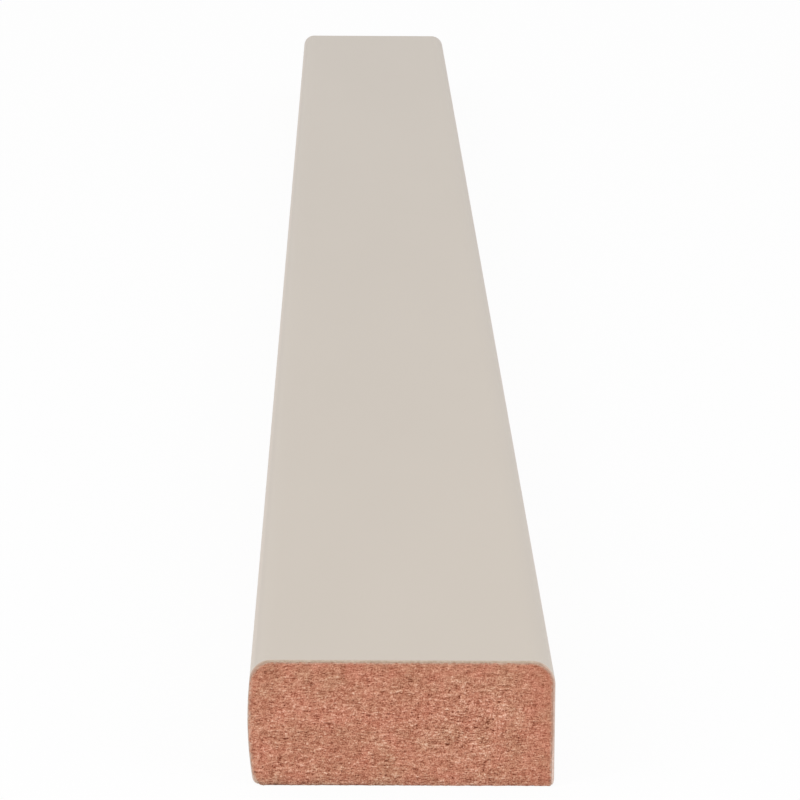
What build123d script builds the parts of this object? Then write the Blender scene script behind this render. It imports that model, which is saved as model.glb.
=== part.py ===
from build123d import *
import os

os.makedirs("parts", exist_ok=True)

# Trim strip, lying on its back with the finished face up.
# X runs across the strip, Y along it, Z up. The origin is the middle of the back.

# Driving dimensions in mm
strip_length = 725.0
core_width = 41.8
core_height = 17.65

# The left edge is slightly crowned: a large arc that stands out furthest at crown_level
crown_radius = 54.6
crown_level = 9.7

# Roundings of the four long edges of the core
face_left_radius = 2.6
face_right_radius = 3.0
back_left_radius = 1.2
back_right_radius = 0.3

# The finish film covers the face and both long edges, and is trimmed just above the back
film_thickness = 0.35
film_trim_level = 0.25


def draw_core_outline():
    # Board outline: a rectangle with its left side cut to the crown arc, corners rounded
    with BuildSketch() as outline:
        with Locations((0, core_height / 2)):
            Rectangle(core_width, core_height)
        with Locations((crown_radius - core_width / 2, crown_level)):
            Circle(crown_radius, mode=Mode.INTERSECT)

        left_corners = outline.vertices().sort_by(Axis.X)[:2].sort_by(Axis.Y)
        right_corners = outline.vertices().sort_by(Axis.X)[2:].sort_by(Axis.Y)
        fillet(left_corners[0], back_left_radius)
        fillet(left_corners[1], face_left_radius)
        fillet(right_corners[0], back_right_radius)
        fillet(right_corners[1], face_right_radius)
    return outline.sketch


def make_board_core():
    # Fibreboard core, one solid bar from cut end to cut end
    with BuildPart() as board_core:
        with BuildSketch(Plane.XZ):
            add(draw_core_outline())
        extrude(amount=strip_length / 2, both=True)
    board_core.part.label = "board_core"
    return board_core


def make_wrap_film():
    # Finish film, a skin of one thickness that follows the core round its edges and face
    with BuildPart() as wrap_film:
        with BuildSketch(Plane.XZ):
            add(draw_core_outline())
            offset(amount=film_thickness)
            add(draw_core_outline(), mode=Mode.SUBTRACT)
            with Locations((0, film_trim_level)):
                Rectangle(
                    2 * core_width,
                    core_height,
                    align=(Align.CENTER, Align.MAX),
                    mode=Mode.SUBTRACT,
                )
        extrude(amount=strip_length / 2, both=True)
    wrap_film.part.label = "wrap_film"
    return wrap_film


board_core = make_board_core()
wrap_film = make_wrap_film()

export_step(board_core.part, "parts/board_core.step")
export_step(wrap_film.part, "parts/wrap_film.step")
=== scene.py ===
import math

import bpy
import numpy as np
from mathutils import Euler, Matrix, Vector


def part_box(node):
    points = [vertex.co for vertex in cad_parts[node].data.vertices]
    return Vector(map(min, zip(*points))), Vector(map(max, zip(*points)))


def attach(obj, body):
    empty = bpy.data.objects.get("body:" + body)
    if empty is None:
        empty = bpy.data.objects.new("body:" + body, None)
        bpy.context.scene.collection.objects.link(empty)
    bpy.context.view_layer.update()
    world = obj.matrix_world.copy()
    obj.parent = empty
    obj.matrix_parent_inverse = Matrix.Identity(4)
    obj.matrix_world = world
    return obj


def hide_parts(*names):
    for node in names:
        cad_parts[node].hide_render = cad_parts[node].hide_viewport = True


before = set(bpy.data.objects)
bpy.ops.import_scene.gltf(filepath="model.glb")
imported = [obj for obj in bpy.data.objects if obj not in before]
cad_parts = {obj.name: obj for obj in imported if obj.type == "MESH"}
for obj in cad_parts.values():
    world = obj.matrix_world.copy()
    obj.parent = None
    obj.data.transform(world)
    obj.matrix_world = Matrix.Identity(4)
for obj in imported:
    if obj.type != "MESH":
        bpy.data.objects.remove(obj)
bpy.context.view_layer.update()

MM = 0.001

# Section of the strip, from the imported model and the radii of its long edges

core_low, core_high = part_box("board_core")
film_low, film_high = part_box("wrap_film")

HALF_LENGTH = core_high[1]
CORE_LEFT = core_low[0]
CORE_RIGHT = core_high[0]
CORE_TOP = core_high[2]
FILM = film_high[2] - core_high[2]
FILM_TRIM = film_low[2]

CROWN_RADIUS = 54.6 * MM
CROWN_LEVEL = 9.7 * MM
FACE_LEFT_RADIUS = 2.6 * MM
FACE_RIGHT_RADIUS = 3.0 * MM
BACK_LEFT_RADIUS = 1.2 * MM
BACK_RIGHT_RADIUS = 0.3 * MM

# Fineness of the meshes, of the rasters behind them and of the arcs

END_CELL = 0.135 * MM
FILM_CELL = 0.25 * MM
RASTER_CELL = 0.06 * MM
ARC_POINTS = 48

# Rings of points along the bars, by their distance from each end

CORE_RINGS = (0.5 * MM, 40 * MM)
FILM_RINGS = (0.6 * MM, 3 * MM)
FILM_SPREAD_FROM = 25 * MM
FILM_SPREAD_COUNT = 8

# Angles, in degrees, from which a corner isn't shaded smooth

CORE_SHARP = 60
FILM_SHARP = 35

# Unwrapped maps

# The strips are for the near end, the far end and the long sides. The share says how far
# the bands of the long sides are evened out
MAP_MARGIN = 0.01
MAP_EVEN_SHARE = 0.1
CORE_STRIPS = ((0.66, 0.98), (0.32, 0.64), (0.02, 0.30))
FILM_STRIPS = ((0.90, 0.98), (0.80, 0.88), (0.02, 0.78))

# Seeds of the random draws

NEAR_SEED = 11
FAR_SEED = 29
FILM_SEED = 5

# Fibres of a sawn end

# Most lie nearly level and the rest stand steeply. A tilt is a mean and a deviation in
# radians. The margin, in widths, is how far beside its line a fibre is drawn
FIBRE_COUNT = 7000
FIBRE_LENGTH = (0.5 * MM, 1.8 * MM)
FIBRE_WIDTH = (0.05 * MM, 0.085 * MM)
FIBRE_MARGIN = 3
FIBRE_HEIGHT = (0.25, 1.0)
FIBRE_BEND = 0.35
LEVEL_PART = 0.75
LEVEL_TILT = (-0.03, 0.12)
STEEP_TILT = (1.25, 0.2)

# Relief of a sawn end

# Each noise has its blur across and up, and each part its weight. The percentiles of the
# sum become the lowest and the highest level
RELIEF_DEPTH = 0.26 * MM
GRAIN_BLUR = (0.2 * MM, 0.06 * MM)
CLUMP_BLUR = (0.4 * MM, 0.12 * MM)
SWELL_BLUR = (1.6 * MM, 1.2 * MM)
HOLE_BLUR = (0.16 * MM, 0.09 * MM)
HOLE_LEVEL = 2.2
SAW_ACROSS = 0.94
SAW_UP = -0.34
SAW_STEP = 0.2 * MM
SAW_WAVER = 2.5
FIBRE_WEIGHT = 1.3
GRAIN_WEIGHT = 0.2
CLUMP_WEIGHT = 0.1
SWELL_WEIGHT = 0.05
SAW_WEIGHT = 0.08
HOLE_WEIGHT = 0.5
RELIEF_PERCENTILES = (1, 99.5)

# Looseness of the fibre

# Each skin takes something off it as far as its reach, the right one less low down. The
# tearing of the saw adds something round a place in the right half
LOOSE_PLAIN = 1.02
FACE_SKIN = 0.27
FACE_SKIN_REACH = 2.2 * MM
RIGHT_SKIN = 0.46
RIGHT_SKIN_REACH = 2.0 * MM
RIGHT_SKIN_LEAST = 0.5
RIGHT_SKIN_RISE = (5 * MM, 9 * MM)
LEFT_SKIN = 0.07
LEFT_SKIN_REACH = 3.0 * MM
TORN = 0.17
TORN_ACROSS = 31 * MM
TORN_UP = 9.5 * MM
TORN_WIDTH = 8 * MM
TORN_HEIGHT = 4.5 * MM

# Ragged back edge, and the lip of fibre dragged over the film on the left

# Both follow one noise, the nicks along a level line and the drag along an upright one
RAGGED_BLUR = 0.16 * MM
EDGE_ROUGHNESS = 0.09 * MM
NICK_LINE = 8 * MM
NICK_SPAN = 2
NICK_REACH = 0.35 * MM
DRAG_LINE = 3 * MM
DRAG_MEAN = 0.8
DRAG_SWING = 0.25
DRAG_LEAST = 0.2
LIP_REACH = 0.26 * MM
LIP_WIDTH = 0.45 * MM
LIP_THICKNESS = 0.09 * MM
LIP_FLAT = 0.3 * MM
LIP_DENT = 0.8
LIP_UNDER_FACE = (1.5 * MM, 2.4 * MM)
LIP_ABOVE_BACK = (0.4 * MM, 1.9 * MM)
BEHIND_DENTS = 0.05 * MM

# Glue line inside the film, and painted shade along the back edge of the sawn ends

# The lip on the left and smeared fibre on the right hide a share of the glue
GLUE_STEP = 0.2 * MM
GLUE_REACH = 0.21 * MM
GLUE_HIDDEN = 0.5
RIGHT_RIM = (-1.5 * MM, -0.5 * MM)
BACK_EDGE_SHADE_REACH = 0.5 * MM
BACK_EDGE_SHADE_FADE = 0.6

# Hem and cut edge of the film

# The cut goes from the outer to the inner side in steps, each with its depth, its share
# of the cut's colour and its share of the smeared fibre
HEM_REACH = 0.8 * MM
HEM_SHARE = 0.35
CUT_STEPS = (0.0, 0.12, 0.5, 0.88, 1.0)
CUT_DULLED = (0.035 * MM, 0.0, 0.0, 0.012 * MM, 0.05 * MM)
CUT_COLOURED = (0.12, 0.6, 1, 1, 1)
CUT_SMEARED = (0.1, 0.3, 0.7, 1, 1)
CUT_WANDER = 0.03 * MM
FILM_RECESS = 0.13 * MM
RECESS_SIDE = (0.93, 0.99)
RECESS_UNDER_FACE = (1.0 * MM, 1.8 * MM)

# Brown fibre smeared over the film's cut

# On the right it grows with the height above the back. On the left it is even, with more
# at the rounded corner, by the height from the core's top
RIGHT_SMEAR = 0.75
RIGHT_SMEAR_RISE = (3.5 * MM, 7.0 * MM)
LEFT_SMEAR = 0.29
CORNER_SMEAR = 0.4
CORNER_SMEAR_RISE = (-2.9 * MM, -1.7 * MM)

# Camera, fitted to the photograph's 800 by 800 frame, with its angles in degrees

CAMERA_PLACE = Vector((-7.8, -923.4, 170.8)) * MM
CAMERA_TURN = 0.751
CAMERA_DROP = 11.707
CAMERA_ROLL = 0.394
FOCAL_PIXELS = 4218.4
FRAME_PIXELS = 800
SENSOR_WIDTH = 36.0
CLIP_START = 0.01
CLIP_END = 50

# Studio

LAMP_SIZE = 0.8
KEY_POWER = 6.5
KEY_PLACE = (-1.0, -1.2, 0.75)
FILL_POWER = 4.4
FILL_PLACE = (1.0, -1.2, 0.75)
WHITE = (1, 1, 1, 1)
AMBIENT = 0.775
FLOOR_HALF = 6.0
FLOOR_LEVEL = -0.05 * MM
FLOOR_COLOUR = (0.9, 0.9, 0.9, 1)
FLOOR_WHITE = 0.94


# Values that rise or fade with a distance


def rise(value, low, high):
    """0 up to low, 1 from high on, and a straight slope between them."""
    return np.clip((value - low) / (high - low), 0, 1)


def fading(distance, reach):
    """1 at no distance, and less and less further away."""
    return np.exp(-np.clip(distance, 0, None) / reach)


# Outline of the section


def arc(centre, radius, start, stop):
    """Points on an arc, angles in radians, from start to stop."""
    turn = np.linspace(start, stop, ARC_POINTS)
    return np.column_stack(
        (centre[0] + radius * np.cos(turn), centre[1] + radius * np.sin(turn))
    )


def right_edge(skin):
    """The right edge of the section from face to back, standing off the core by skin."""
    face = (CORE_RIGHT - FACE_RIGHT_RADIUS, CORE_TOP - FACE_RIGHT_RADIUS)
    back = (CORE_RIGHT - BACK_RIGHT_RADIUS, BACK_RIGHT_RADIUS)
    return np.vstack(
        (
            arc(face, FACE_RIGHT_RADIUS + skin, math.pi / 2, 0),
            arc(back, BACK_RIGHT_RADIUS + skin, 0, -math.pi / 2),
        )
    )


def left_edge(skin):
    """The crowned left edge of the section from face to back, standing off by skin."""
    crown = (CORE_LEFT + CROWN_RADIUS, CROWN_LEVEL)

    def corner(radius, level):
        climb = level - CROWN_LEVEL
        reach = math.sqrt((CROWN_RADIUS - radius) ** 2 - climb**2)
        turn = math.atan2(climb, -reach) % (2 * math.pi)
        return (crown[0] - reach, level), turn

    face, face_turn = corner(FACE_LEFT_RADIUS, CORE_TOP - FACE_LEFT_RADIUS)
    back, back_turn = corner(BACK_LEFT_RADIUS, BACK_LEFT_RADIUS)
    return np.vstack(
        (
            arc(face, FACE_LEFT_RADIUS + skin, math.pi / 2, face_turn),
            arc(crown, CROWN_RADIUS + skin, face_turn, back_turn),
            arc(back, BACK_LEFT_RADIUS + skin, back_turn, 1.5 * math.pi),
        )
    )


def travel(points):
    """Distance along a line of points, from its first point."""
    steps = np.hypot(*np.diff(points, axis=0).T)
    return np.concatenate(([0.0], np.cumsum(steps)))


def spread(points, count):
    """The same line with count points at even distances."""
    along = travel(points)
    even = np.linspace(0, along[-1], count)
    places = [np.interp(even, along, points[:, axis]) for axis in (0, 1)]
    return np.column_stack(places)


# Noise and fibres that the sawn ends are made of


def soft_noise(draw, shape, across, up):
    """Random field of unit deviation, blurred by so many metres across and up."""
    waves_up = np.fft.fftfreq(shape[0], RASTER_CELL)[:, None]
    waves_across = np.fft.fftfreq(shape[1], RASTER_CELL)[None, :]
    keep = np.exp(-2 * math.pi**2 * ((waves_across * across) ** 2 + (waves_up * up) ** 2))
    field = np.fft.ifft2(np.fft.fft2(draw.standard_normal(shape)) * keep).real
    return field / field.std()


def lay_fibres(draw, shape):
    """Height of a mat of short bent fibres, most of them lying across the end."""
    mat = np.zeros(shape)
    for _ in range(FIBRE_COUNT):
        length = draw.uniform(*FIBRE_LENGTH) / RASTER_CELL
        width = draw.uniform(*FIBRE_WIDTH) / RASTER_CELL
        lean = LEVEL_TILT if draw.random() < LEVEL_PART else STEEP_TILT
        tilt = draw.normal(*lean)
        bend = draw.normal(0, FIBRE_BEND) / length
        level = draw.uniform(*FIBRE_HEIGHT)
        middle = draw.uniform((0, 0), shape)
        reach = int(length / 2 + width * FIBRE_MARGIN) + 1
        row = int(middle[0])
        column = int(middle[1])
        rows = slice(max(row - reach, 0), min(row + reach, shape[0]))
        columns = slice(max(column - reach, 0), min(column + reach, shape[1]))
        up, across = np.mgrid[rows, columns]
        up = up - middle[0]
        across = across - middle[1]
        along = across * math.cos(tilt) + up * math.sin(tilt)
        beside = up * math.cos(tilt) - across * math.sin(tilt) - bend * along**2
        taper = np.clip(1 - (2 * along / length) ** 2, 0, 1)
        fibre = level * taper * np.exp(-((beside / width) ** 2))
        mat[rows, columns] = np.maximum(mat[rows, columns], fibre)
    return mat


def looseness(across, up):
    """How loose the fibres are. The board is denser, and cut cleaner, under the face and at
    its sides, most of all high up on the right. The saw tears it most in its right half."""
    under_face = fading(CORE_TOP - up, FACE_SKIN_REACH)
    at_right = fading(CORE_RIGHT - CORE_LEFT - across, RIGHT_SKIN_REACH)
    at_left = fading(across, LEFT_SKIN_REACH)
    high = RIGHT_SKIN_LEAST + (1 - RIGHT_SKIN_LEAST) * rise(up, *RIGHT_SKIN_RISE)
    away = ((across - TORN_ACROSS) / TORN_WIDTH) ** 2 + ((up - TORN_UP) / TORN_HEIGHT) ** 2
    loose = LOOSE_PLAIN - FACE_SKIN * under_face
    loose = loose - RIGHT_SKIN * (at_right * high) - LEFT_SKIN * at_left
    return loose + TORN * np.exp(-away)


def sawn_relief(draw):
    """Height of the sawn fibreboard from 0 to 1, on a raster over the whole end."""
    shape = (
        int(math.ceil(CORE_TOP / RASTER_CELL)) + 1,
        int(math.ceil((CORE_RIGHT - CORE_LEFT) / RASTER_CELL)) + 1,
    )
    fibres = lay_fibres(draw, shape)
    grain = soft_noise(draw, shape, *GRAIN_BLUR)
    clumps = soft_noise(draw, shape, *CLUMP_BLUR)
    swell = soft_noise(draw, shape, *SWELL_BLUR)
    holes = np.clip(soft_noise(draw, shape, *HOLE_BLUR) - HOLE_LEVEL, 0, None)

    up, across = np.mgrid[0 : shape[0], 0 : shape[1]] * RASTER_CELL
    stroke = (across * SAW_ACROSS + up * SAW_UP) / SAW_STEP
    saw_marks = np.sin(stroke + swell * SAW_WAVER)

    height = FIBRE_WEIGHT * fibres + GRAIN_WEIGHT * grain
    height = height + CLUMP_WEIGHT * clumps + SWELL_WEIGHT * swell
    height = height + SAW_WEIGHT * saw_marks - HOLE_WEIGHT * holes
    height = height.mean() + (height - height.mean()) * looseness(across, up)
    return rise(height, *np.percentile(height, RELIEF_PERCENTILES))


def sample(raster, across, up):
    """Values of the raster at points given in metres from its lower left corner."""
    # Places stay just short of the last row and column, so that there is one beyond each
    short = 1.001
    rows = np.clip(up / RASTER_CELL, 0, raster.shape[0] - short)
    columns = np.clip(across / RASTER_CELL, 0, raster.shape[1] - short)
    row = rows.astype(int)
    column = columns.astype(int)
    part_up = rows - row
    part_across = columns - column
    below = raster[row, column] * (1 - part_across) + raster[row, column + 1] * part_across
    above = raster[row + 1, column] * (1 - part_across)
    above = above + raster[row + 1, column + 1] * part_across
    return below * (1 - part_up) + above * part_up


# Bars built from two end grids and the rings between them


def border(grid):
    """Border of a grid, clockwise from its first point, without repeating it."""
    return np.concatenate((grid[0, :-1], grid[:-1, -1], grid[-1, :0:-1], grid[:0:-1, 0]))


def at(outline, y):
    """Points of a section outline, set at a distance or distances along the strip."""
    return np.stack((outline[..., 0], outline[..., 1] * 0 + y, outline[..., 1]), axis=-1)


def ring_pairs(outline, distances):
    """Rings of a section outline at the distances from the near end, then the far end."""
    near = [at(outline, distance - HALF_LENGTH) for distance in distances]
    far = [at(outline, HALF_LENGTH - distance) for distance in distances[::-1]]
    return near + far


def on_map(strip, across, up):
    """Places on the unwrapped map, from the shares across it and up one of its strips."""
    low, high = strip
    across = MAP_MARGIN + (1 - 2 * MAP_MARGIN) * across
    return np.stack(np.broadcast_arrays(across, low + (high - low) * up), axis=-1)


def build_bar(name, near, far, rings, marks, strips):
    """A closed bar: a grid of points at each end, joined by rings along its length.
    The grids run down from the face and across to the right, as seen from the near end.
    Marks are named numbers for each point of the near and far grid, and 0 between.
    Strips are the parts of the unwrapped map, low and high, for the near end, the far
    end and the long sides."""
    rows, columns = near.shape[:2]
    near_index = np.arange(rows * columns).reshape(rows, columns)
    far_index = near_index + near_index.size
    points = [near.reshape(-1, 3), far.reshape(-1, 3)]
    chain = [border(near_index)]
    total = 2 * near_index.size
    for ring in rings:
        points.append(ring)
        chain.append(np.arange(total, total + len(ring)))
        total = total + len(ring)
    chain.append(border(far_index))
    points = np.vstack(points)

    faces = []
    spots = []
    down, across = np.mgrid[0:1 : rows * 1j, 0:1 : columns * 1j]
    for index, step, strip in ((near_index, 1, strips[0]), (far_index, -1, strips[1])):
        corners = (index[1:, :-1], index[1:, 1:], index[:-1, 1:], index[:-1, :-1])
        faces.append(np.stack(corners, axis=-1).reshape(-1, 4)[:, ::step])
        spot = on_map(strip, across, 1 - down)
        corners = (spot[1:, :-1], spot[1:, 1:], spot[:-1, 1:], spot[:-1, :-1])
        spots.append(np.stack(corners, axis=-2).reshape(-1, 4, 2)[:, ::step])

    # Along the map each band of the sides has its length, and a little more if it is short
    spans = np.array([points[ring, 1].mean() for ring in chain])
    spans = (spans - spans[0]) / (spans[-1] - spans[0])
    even = np.linspace(0, 1, len(chain))
    spans = (1 - MAP_EVEN_SHARE) * spans + MAP_EVEN_SHARE * even
    start = np.arange(len(chain[0])) / len(chain[0])
    stop = start + start[1]
    for band, (this, following) in enumerate(zip(chain[:-1], chain[1:])):
        corners = (this, np.roll(this, -1), np.roll(following, -1), following)
        faces.append(np.stack(corners, axis=-1))
        corners = [on_map(strips[2], spans[band], turn) for turn in (start, stop)]
        corners += [on_map(strips[2], spans[band + 1], turn) for turn in (stop, start)]
        spots.append(np.stack(corners, axis=-2))

    mesh = bpy.data.meshes.new(name)
    mesh.from_pydata(points.tolist(), [], np.vstack(faces).tolist())
    unwrapped = mesh.uv_layers.new(name="OFBake")
    unwrapped.data.foreach_set("uv", np.vstack(spots).astype(np.float32).ravel())
    for mark, (near_values, far_values) in marks.items():
        values = np.zeros(total, dtype=np.float32)
        values[near_index] = near_values
        values[far_index] = far_values
        mesh.attributes.new(mark, "FLOAT", "POINT").data.foreach_set("value", values)
    mesh.validate()
    mesh.shade_smooth()
    bar = bpy.data.objects.new(name, mesh)
    bpy.context.scene.collection.objects.link(bar)
    return bar


# Fibreboard core


def core_grid():
    """Plain grid of places over the core's section."""
    left = left_edge(0)
    rows = int(round(travel(left)[-1] / END_CELL)) + 1
    columns = int(round((CORE_RIGHT - CORE_LEFT) / END_CELL)) + 1
    left = spread(left, rows)[:, None, :]
    right = spread(right_edge(0), rows)[:, None, :]
    share = np.linspace(0, 1, columns)[None, :, None]
    return left * (1 - share) + right * share


def lip_share(up):
    """How much of the dragged lip of fibre there is at each height of the left edge."""
    return rise(CORE_TOP - up, *LIP_UNDER_FACE) * rise(up, *LIP_ABOVE_BACK)


def smear_share(up):
    """How much fibre the saw smears over the glue and film of the right edge, by height."""
    return rise(up, *RIGHT_SMEAR_RISE)


def saw_end(plain, seed):
    """One sawn end over a plain grid: moved places, depth below the end plane, relief."""
    draw = np.random.default_rng(seed)
    raster = sawn_relief(draw)
    across = plain[..., 0]
    up = plain[..., 1]
    relief = sample(raster, across - CORE_LEFT, up)
    depth = (1 - relief) * RELIEF_DEPTH

    # The saw leaves the back edge ragged and drags a lip of fibre over the film on the left
    ragged = soft_noise(draw, raster.shape, RAGGED_BLUR, RAGGED_BLUR)
    level_line = sample(ragged, across - CORE_LEFT, np.full_like(up, NICK_LINE))
    upright_line = sample(ragged, np.full_like(up, DRAG_LINE), up)
    nick = np.clip(level_line, 0, NICK_SPAN) / NICK_SPAN
    nick = nick * EDGE_ROUGHNESS * fading(up, NICK_REACH)
    drag = np.clip(DRAG_MEAN + DRAG_SWING * upright_line, DRAG_LEAST, 1)
    drag = drag * lip_share(up)
    inside = across - across[:, :1]
    lip = LIP_REACH * drag * fading(inside, LIP_WIDTH)
    thin = np.minimum(depth, LIP_THICKNESS * LIP_DENT)
    depth = np.where((inside < LIP_FLAT) & (drag > 0), thin, depth)
    return np.stack((across - lip, up + nick), axis=-1), depth, relief


def core_rims(plain):
    """How near each point is to the film, and how much painted shade it has at the back: 1
    there, 0 a little further in.
    The painted shade at the back fades towards the right. The lip hides glue on the left, and
    smeared fibre hides it on the right."""
    across = plain[..., 0]
    up = plain[..., 1]
    ring = film_line(0)
    gap = np.full(across.shape, np.inf)
    for point in spread(ring, int(travel(ring)[-1] / GLUE_STEP)):
        gap = np.minimum(gap, np.hypot(across - point[0], up - point[1]))
    glue = np.exp(-((gap / GLUE_REACH) ** 2))
    smeared = rise(across - CORE_RIGHT, *RIGHT_RIM) * smear_share(up)
    glue = glue * (1 - GLUE_HIDDEN * np.where(across < 0, lip_share(up), smeared))
    share = (across - CORE_LEFT) / (CORE_RIGHT - CORE_LEFT)
    return glue, fading(up, BACK_EDGE_SHADE_REACH) * (1 - BACK_EDGE_SHADE_FADE * share)


def make_core():
    plain = core_grid()
    near_place, near_depth, near_relief = saw_end(plain, NEAR_SEED)
    far_place, far_depth, far_relief = saw_end(plain, FAR_SEED)
    near = at(near_place, near_depth - HALF_LENGTH)
    far = at(far_place, HALF_LENGTH - far_depth)

    # The ring behind each end lies deeper than the dents in that end's border
    ring = border(plain)
    near_behind = np.maximum(border(near_depth) + BEHIND_DENTS, LIP_THICKNESS)
    far_behind = np.maximum(border(far_depth) + BEHIND_DENTS, LIP_THICKNESS)
    rings = [at(ring, near_behind - HALF_LENGTH)]
    rings += ring_pairs(ring, CORE_RINGS)
    rings.append(at(ring, HALF_LENGTH - far_behind))

    # The glue line, and painted shade along the back edge
    glue, back_edge_shade = core_rims(plain)
    loose = looseness(plain[..., 0] - CORE_LEFT, plain[..., 1])
    marks = {
        "relief": (near_relief, far_relief),
        "sawn": (1.0, 1.0),
        "glue": (glue, glue),
        "back_edge_shade": (back_edge_shade, back_edge_shade),
        "loose": (loose, loose),
    }
    core = build_bar("fibreboard_core", near, far, rings, marks, CORE_STRIPS)
    core.data.set_sharp_from_angle(angle=math.radians(CORE_SHARP))
    return core


# Finish film


def film_line(skin):
    """The film's line round the section, from its left hem over the face to its right."""
    whole = np.vstack((left_edge(skin)[::-1], right_edge(skin)))
    above = np.flatnonzero(whole[:, 1] > FILM_TRIM)
    first, last = above[0], above[-1]

    def hem(under, over):
        share = (FILM_TRIM - under[1]) / (over[1] - under[1])
        return under + (over - under) * share

    start = hem(whole[first - 1], whole[first])
    stop = hem(whole[last + 1], whole[last])
    return np.vstack((start, whole[first : last + 1], stop))


def cut_depth(outer):
    """Depth of the film's cut edge below each end plane, for each step and point."""
    draw = np.random.default_rng(FILM_SEED)
    count = len(outer)
    wander = np.cumsum(draw.standard_normal((2, count)), axis=1)
    drift = wander[:, -1:] - wander[:, :1]
    wander = wander - wander[:, :1] - drift * np.linspace(0, 1, count)
    wander = np.abs(wander) / np.abs(wander).max() * CUT_WANDER
    recess = rise(outer[:, 0] / CORE_LEFT, *RECESS_SIDE)
    recess = recess * rise(CORE_TOP - outer[:, 1], *RECESS_UNDER_FACE)
    return FILM_RECESS * recess + wander[:, None, :] + np.array(CUT_DULLED)[:, None]


def cut_marks(outer):
    """Marks of the film's cut edge: its colour, how steeply the film stands, and smears."""
    up = outer[:, 1]
    shape = (len(CUT_STEPS), len(outer))
    shade = np.broadcast_to(np.array(CUT_COLOURED)[:, None], shape)
    steep = np.abs(np.gradient(up) / np.hypot(*np.gradient(outer, axis=0).T))
    steep = np.broadcast_to(steep, shape)
    right_smear = RIGHT_SMEAR * np.array(CUT_SMEARED)[:, None] * smear_share(up)
    left_smear = LEFT_SMEAR + CORNER_SMEAR * rise(up - CORE_TOP, *CORNER_SMEAR_RISE)
    smear = np.where(outer[:, 0] > 0, right_smear, left_smear)
    return {"cut_edge": (shade, shade), "steep": (steep, steep), "smear": (smear, smear)}


def make_film():
    outer = film_line(FILM)
    count = int(round(travel(outer)[-1] / FILM_CELL)) + 1
    outer = spread(outer, count)
    inner = spread(film_line(0), count)
    outer[:, 0] = np.clip(outer[:, 0], film_low[0], film_high[0])

    # Trimming dresses the film down to a thin hem just above the back
    above_hem = np.clip((outer[:, 1:] - FILM_TRIM) / HEM_REACH, 0, 1)
    outer = inner + (outer - inner) * (HEM_SHARE + (1 - HEM_SHARE) * np.sqrt(above_hem))

    share = np.array(CUT_STEPS)[:, None, None]
    place = outer * (1 - share) + inner * share
    depth = cut_depth(outer)
    near = at(place, depth[0] - HALF_LENGTH)
    far = at(place, HALF_LENGTH - depth[1])
    even = np.linspace(FILM_SPREAD_FROM, HALF_LENGTH, FILM_SPREAD_COUNT + 1)[:-1]
    rings = ring_pairs(border(place), list(FILM_RINGS) + even.tolist())
    film = build_bar("greige_film", near, far, rings, cut_marks(outer), FILM_STRIPS)
    film.data.set_sharp_from_angle(angle=math.radians(FILM_SHARP))
    return film


# Materials


def linear(red, green, blue):
    """Colour for a shader from the 0 to 255 numbers seen on screen."""

    def one(value):
        share = value / 255
        return share / 12.92 if share <= 0.04045 else ((share + 0.055) / 1.055) ** 2.4

    return (one(red), one(green), one(blue), 1.0)


# Noises of the materials

# A noise has its scale, detail and roughness. Strands have a scale and a tilt in degrees
FINE_NOISE = (5200, 1.0, 0.6)
BLOTCH_NOISE = (240, 3.0, 0.6)
FLECK_NOISE = (2200, 1.0, 0.5)
LINE_NOISE = (1500, 4.0, 0.6)
SPECK_NOISE = (2400, 3.0, 0.65)
CLOUD_NOISE = (40, 3.0, 0.5)
FRAY_NOISE = (3000, 2.0, 0.6)
PATCH_NOISE = (1400, 2.0, 0.5)
PEEL_NOISE = (700, 2.0, 0.5)
STRAND_DETAIL = 1.0
STRAND_ROUGHNESS = 0.5
STRAND_STRETCH = (0.25, 1.0, 1.0)
STRAND_EDGE = 6.0
LEVEL_STRANDS = (3000, -2.0)
SLANTING_STRANDS = (2000, 72.0)
SLANTING_PART = 0.7
LINE_STRETCH = (1.0, 0.02, 1.0)
CLOUD_STRETCH = (1.0, 0.25, 1.0)

# Tone of the sawn fibres

# It comes from their relief, which paints shade into the hollows and a highlight onto the
# tips, and from strands and fine noise for the fibre's own colour. It swings about its middle
# by how loose the fibre is, and is then scaled and raised to fit the colours
PAINTED_RELIEF_SHADING = 0.22
STRAND_TONE = 0.24
FINE_TONE = 0.6
TONE_MIDDLE = 0.45
TONE_SCALE = 0.9
TONE_BASE = 0.405

# Patches in the glue line and in the smeared fibre

# Each is the weight of a noise, and an offset
GLUE_PATCHES = 4.0
GLUE_OFFSET = -0.95
SMEAR_PATCHES = 0.5
SMEAR_OFFSET = -0.25

# Colours of the core

SAWN_TONES = (
    (0.24, linear(101, 46, 28)),
    (0.42, linear(172, 110, 87)),
    (0.58, linear(210, 153, 129)),
    (0.76, linear(251, 213, 193)),
)
BLOTCHES = ((0.35, linear(255, 243, 240)), (0.65, linear(249, 255, 248)))
GLUE = linear(203, 174, 154)
# Tint of the painted shade along the back edge of the sawn ends
BACK_EDGE_SHADE_TINT = linear(206, 234, 242)
BACK_TONES = (
    (0.25, linear(150, 100, 78)),
    (0.5, linear(188, 138, 114)),
    (0.75, linear(206, 162, 138)),
)
BACK_LINES = 0.45
BACK_SPECKS = 0.55

# Colours of the film

# The painted shading round the bends runs from a surface that faces left, over the face, to
# one that
# faces right: a painted highlight on the left wall and painted shade midway round each bend
FACE_TONES = ((0.3, linear(203, 192, 179)), (0.7, linear(205, 194, 181)))
PAINTED_BEND_SHADING = (
    (0.07, linear(255, 253, 253)),
    (0.13, linear(246, 245, 245)),
    (0.25, linear(251, 251, 251)),
    (0.72, linear(251, 251, 251)),
    (0.9, linear(247, 247, 247)),
    (1.0, linear(249, 249, 249)),
)
LEVEL_CUT_TONES = ((0.3, linear(171, 148, 127)), (0.7, linear(199, 181, 162)))
UPRIGHT_CUT_TONES = ((0.3, linear(200, 174, 160)), (0.7, linear(227, 204, 193)))
SMEARED_FIBRE = linear(168, 124, 100)

# Surfaces

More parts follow.
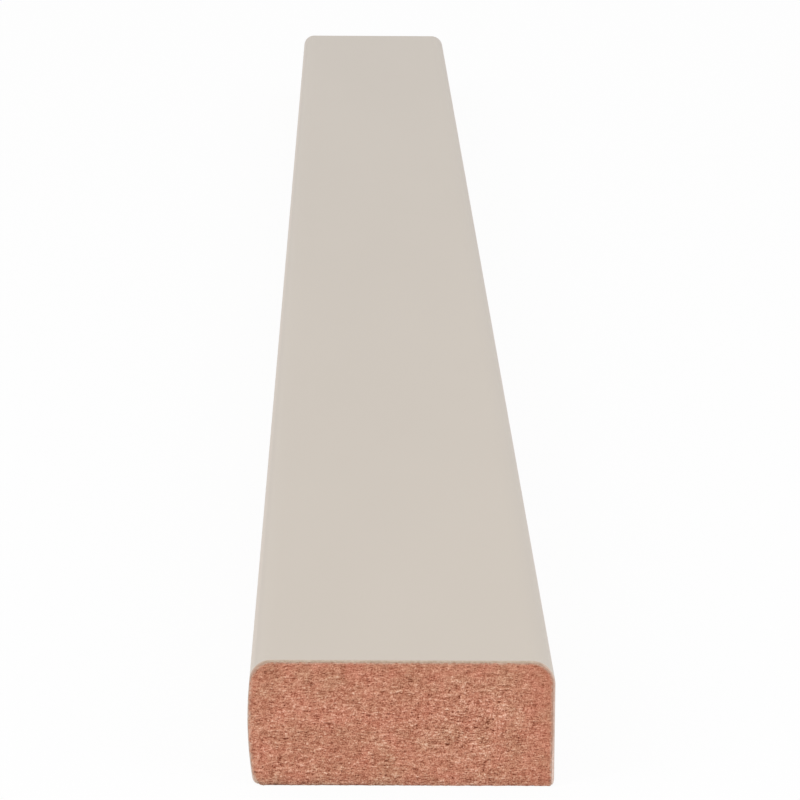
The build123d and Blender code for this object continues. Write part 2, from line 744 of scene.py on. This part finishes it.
# Each has its roughness, its gloss, and the strength and distance of its bump
CORE_SURFACE = (0.92, 0.2, 0.7, 0.12 * MM)
FILM_SURFACE = (0.4, 0.3, 0.12, 0.02 * MM)
BUMP_STRANDS = 0.6
BUMP_FINE = 0.4


class Wiring:
    """Short ways to add and join the nodes of one material or world."""

    def __init__(self, owner):
        owner.use_nodes = True
        self.tree = owner.node_tree
        self.tree.nodes.clear()

    def add(self, kind, inputs=None, **settings):
        node = self.tree.nodes.new(kind)
        for key, value in settings.items():
            setattr(node, key, value)
        for key, value in (inputs or {}).items():
            if isinstance(value, bpy.types.NodeSocket):
                self.tree.links.new(value, node.inputs[key])
            else:
                node.inputs[key].default_value = value
        return node

    def mark(self, name):
        """The numbers that a mesh keeps under this name."""
        return self.add("ShaderNodeAttribute", attribute_name=name).outputs["Fac"]

    def coordinates(self, kind):
        return self.add("ShaderNodeTexCoord").outputs[kind]

    def noise(self, where, scale, detail, roughness):
        made = self.add(
            "ShaderNodeTexNoise",
            {"Vector": where, "Scale": scale, "Detail": detail, "Roughness": roughness},
        )
        return made.outputs["Fac"]

    def ramp(self, factor, stops):
        made = self.add("ShaderNodeValToRGB", {"Fac": factor})
        ramp = made.color_ramp
        while len(ramp.elements) < len(stops):
            ramp.elements.new(0.5)
        for element, (place, colour) in zip(ramp.elements, stops):
            element.position = place
            element.color = colour
        return made.outputs["Color"]

    def mix(self, factor, first, second, blend_type="MIX"):
        made = self.add("ShaderNodeMix", data_type="RGBA", blend_type=blend_type)
        for key, value in ((0, factor), (6, first), (7, second)):
            if isinstance(value, bpy.types.NodeSocket):
                self.tree.links.new(value, made.inputs[key])
            else:
                made.inputs[key].default_value = value
        return made.outputs[2]

    def tint(self, factor, first, second):
        return self.mix(factor, first, second, "MULTIPLY")

    def math(self, operation, first, second=0.0):
        made = self.add("ShaderNodeMath", {0: first, 1: second}, operation=operation)
        return made.outputs[0]

    def blend(self, *parts):
        """Sum of values, each times its share."""
        total = 0.0
        for value, share in parts:
            total = self.math("ADD", self.math("MULTIPLY", value, share), total)
        return total

    def stretched(self, scale, tilt=0.0):
        """Object coordinates turned about the length, then scaled by a factor on each axis."""
        turn = (0, math.radians(tilt), 0)
        turned = self.add(
            "ShaderNodeMapping", {"Vector": self.coordinates("Object"), "Rotation": turn}
        )
        made = self.add(
            "ShaderNodeMapping", {"Vector": turned.outputs["Vector"], "Scale": scale}
        )
        return made.outputs["Vector"]

    def strands(self, scale, tilt):
        """Thin bent lines, bright along the middle level of a stretched noise."""
        where = self.stretched(STRAND_STRETCH, tilt)
        noise = self.noise(where, scale, STRAND_DETAIL, STRAND_ROUGHNESS)
        away = self.math("ABSOLUTE", self.math("SUBTRACT", noise, 0.5))
        return self.math("SUBTRACT", 1.0, self.math("MULTIPLY", away, STRAND_EDGE))

    def surface(self, colour, height, roughness, gloss, strength, distance):
        """The material's surface, in a colour and with a bump by height."""
        bump = self.add(
            "ShaderNodeBump", {"Height": height, "Strength": strength, "Distance": distance}
        )
        shader = self.add(
            "ShaderNodeBsdfPrincipled",
            {
                "Base Color": colour,
                "Roughness": roughness,
                "Specular IOR Level": gloss,
                "Normal": bump.outputs["Normal"],
            },
        )
        self.add("ShaderNodeOutputMaterial", {"Surface": shader.outputs["BSDF"]})


def fibreboard_material():
    material = bpy.data.materials.new("sawn_fibreboard")
    wiring = Wiring(material)
    place = wiring.coordinates("Object")
    loose = wiring.mark("loose")

    # Sawn end: strands of fibre in two directions, with painted shade in the hollows and a
    # painted highlight on the tips
    fine = wiring.noise(place, *FINE_NOISE)
    slanting = wiring.math("MULTIPLY", wiring.strands(*SLANTING_STRANDS), SLANTING_PART)
    mat = wiring.math("MAXIMUM", wiring.strands(*LEVEL_STRANDS), slanting)
    relief = wiring.mark("relief")
    tone = wiring.blend((relief, PAINTED_RELIEF_SHADING), (mat, STRAND_TONE), (fine, FINE_TONE))
    tone = wiring.math("MULTIPLY", wiring.math("SUBTRACT", tone, TONE_MIDDLE), loose)
    tone = wiring.blend((tone, TONE_SCALE), (1.0, TONE_BASE))
    sawn = wiring.ramp(tone, SAWN_TONES)
    blotch = wiring.ramp(wiring.noise(place, *BLOTCH_NOISE), BLOTCHES)
    sawn = wiring.tint(1.0, sawn, blotch)

    # Light glue line along the film, and painted shade along the back edge
    flecks = wiring.noise(place, *FLECK_NOISE)
    patches = wiring.blend((flecks, GLUE_PATCHES), (1.0, GLUE_OFFSET))
    sawn = wiring.mix(wiring.math("MULTIPLY", wiring.mark("glue"), patches), sawn, GLUE)
    sawn = wiring.tint(wiring.mark("back_edge_shade"), sawn, BACK_EDGE_SHADE_TINT)

    # Sanded back: paler and closer, with faint sanding lines along the strip
    lines = wiring.noise(wiring.stretched(LINE_STRETCH), *LINE_NOISE)
    specks = wiring.noise(place, *SPECK_NOISE)
    back = wiring.ramp(wiring.blend((lines, BACK_LINES), (specks, BACK_SPECKS)), BACK_TONES)

    colour = wiring.mix(wiring.mark("sawn"), back, sawn)
    height = wiring.blend((mat, BUMP_STRANDS), (fine, BUMP_FINE))
    height = wiring.math("MULTIPLY", height, loose)
    wiring.surface(colour, height, *CORE_SURFACE)
    return material


def film_material():
    material = bpy.data.materials.new("greige_satin_film")
    wiring = Wiring(material)
    place = wiring.coordinates("Object")
    cloud = wiring.noise(wiring.stretched(CLOUD_STRETCH), *CLOUD_NOISE)
    face = wiring.ramp(cloud, FACE_TONES)

    # Painted shade midway round the bends, and a painted highlight on the crowned side, by the
    # way the surface faces
    normal = wiring.coordinates("Normal")
    sideways = wiring.add("ShaderNodeSeparateXYZ", {"Vector": normal}).outputs["X"]
    bend_shading = wiring.ramp(wiring.blend((sideways, 0.5), (1.0, 0.5)), PAINTED_BEND_SHADING)
    face = wiring.tint(1.0, face, bend_shading)

    # Cut edge: frayed, paler where it stands upright, and smeared with brown fibre there
    frayed = wiring.noise(place, *FRAY_NOISE)
    level = wiring.ramp(frayed, LEVEL_CUT_TONES)
    upright = wiring.ramp(frayed, UPRIGHT_CUT_TONES)
    patchy = wiring.noise(place, *PATCH_NOISE)
    smear = wiring.mark("smear")
    smear = wiring.blend((smear, 1.0), (patchy, SMEAR_PATCHES), (1.0, SMEAR_OFFSET))
    upright = wiring.mix(smear, upright, SMEARED_FIBRE)
    edge = wiring.mix(wiring.mark("steep"), level, upright)

    colour = wiring.mix(wiring.mark("cut_edge"), face, edge)
    wiring.surface(colour, wiring.noise(place, *PEEL_NOISE), *FILM_SURFACE)
    return material


# Stage


def seen_directly(wiring):
    """1 for rays that show the background: from the camera, in gloss and through glass."""
    path = wiring.add("ShaderNodeLightPath").outputs
    seen = wiring.math("MAXIMUM", path["Is Camera Ray"], path["Is Glossy Ray"])
    return wiring.math("MAXIMUM", seen, path["Is Transmission Ray"])


def make_world():
    world = bpy.data.worlds.new("pale_studio")
    bpy.context.scene.world = world
    wiring = Wiring(world)
    ambient = wiring.add("ShaderNodeBackground", {"Color": WHITE, "Strength": AMBIENT})
    white = wiring.add("ShaderNodeBackground", {"Color": WHITE, "Strength": 1.0})
    mixed = wiring.add(
        "ShaderNodeMixShader",
        {0: seen_directly(wiring), 1: ambient.outputs[0], 2: white.outputs[0]},
    )
    wiring.add("ShaderNodeOutputWorld", {"Surface": mixed.outputs[0]})


def make_floor():
    mesh = bpy.data.meshes.new("floor")
    sides = ((-1, -1), (1, -1), (1, 1), (-1, 1))
    corners = [(x * FLOOR_HALF, y * FLOOR_HALF, FLOOR_LEVEL) for x, y in sides]
    mesh.from_pydata(corners, [], [(0, 1, 2, 3)])
    floor = bpy.data.objects.new("floor", mesh)
    bpy.context.scene.collection.objects.link(floor)
    material = bpy.data.materials.new("pale_floor")
    wiring = Wiring(material)
    matte = wiring.add("ShaderNodeBsdfDiffuse", {"Color": FLOOR_COLOUR})
    glow = wiring.add("ShaderNodeEmission", {"Color": WHITE, "Strength": 1.0})
    share = wiring.math("MULTIPLY", seen_directly(wiring), FLOOR_WHITE)
    mixed = wiring.add(
        "ShaderNodeMixShader", {0: share, 1: matte.outputs[0], 2: glow.outputs[0]}
    )
    wiring.add("ShaderNodeOutputMaterial", {"Surface": mixed.outputs[0]})
    floor.data.materials.append(material)


def make_lamp(name, power, place):
    """A wide soft lamp that faces the near end of the strip."""
    lamp = bpy.data.lights.new(name, "AREA")
    lamp.energy = power
    lamp.size = LAMP_SIZE
    piece = bpy.data.objects.new(name, lamp)
    piece.location = place
    aim = Vector((0, -HALF_LENGTH, 0)) - piece.location
    piece.rotation_euler = aim.to_track_quat("-Z", "Y").to_euler()
    bpy.context.scene.collection.objects.link(piece)


def make_camera():
    camera = bpy.data.objects.new("camera", bpy.data.cameras.new("camera"))
    bpy.context.scene.collection.objects.link(camera)
    aim = Euler((math.radians(90 - CAMERA_DROP), 0, math.radians(-CAMERA_TURN))).to_matrix()
    roll = Matrix.Rotation(math.radians(CAMERA_ROLL), 3, "Z")
    camera.matrix_world = Matrix.Translation(CAMERA_PLACE) @ (aim @ roll).to_4x4()
    camera.data.sensor_width = SENSOR_WIDTH
    camera.data.lens = FOCAL_PIXELS / FRAME_PIXELS * SENSOR_WIDTH
    camera.data.clip_start = CLIP_START
    camera.data.clip_end = CLIP_END
    bpy.context.scene.camera = camera


make_camera()
make_world()
make_floor()
make_lamp("key", KEY_POWER, KEY_PLACE)
make_lamp("fill", FILL_POWER, FILL_PLACE)

core = make_core()
core.data.materials.append(fibreboard_material())
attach(core, "root")
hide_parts("board_core")

film = make_film()
film.data.materials.append(film_material())
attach(film, "root")
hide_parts("wrap_film")

bpy.context.scene.view_settings.view_transform = "Standard"
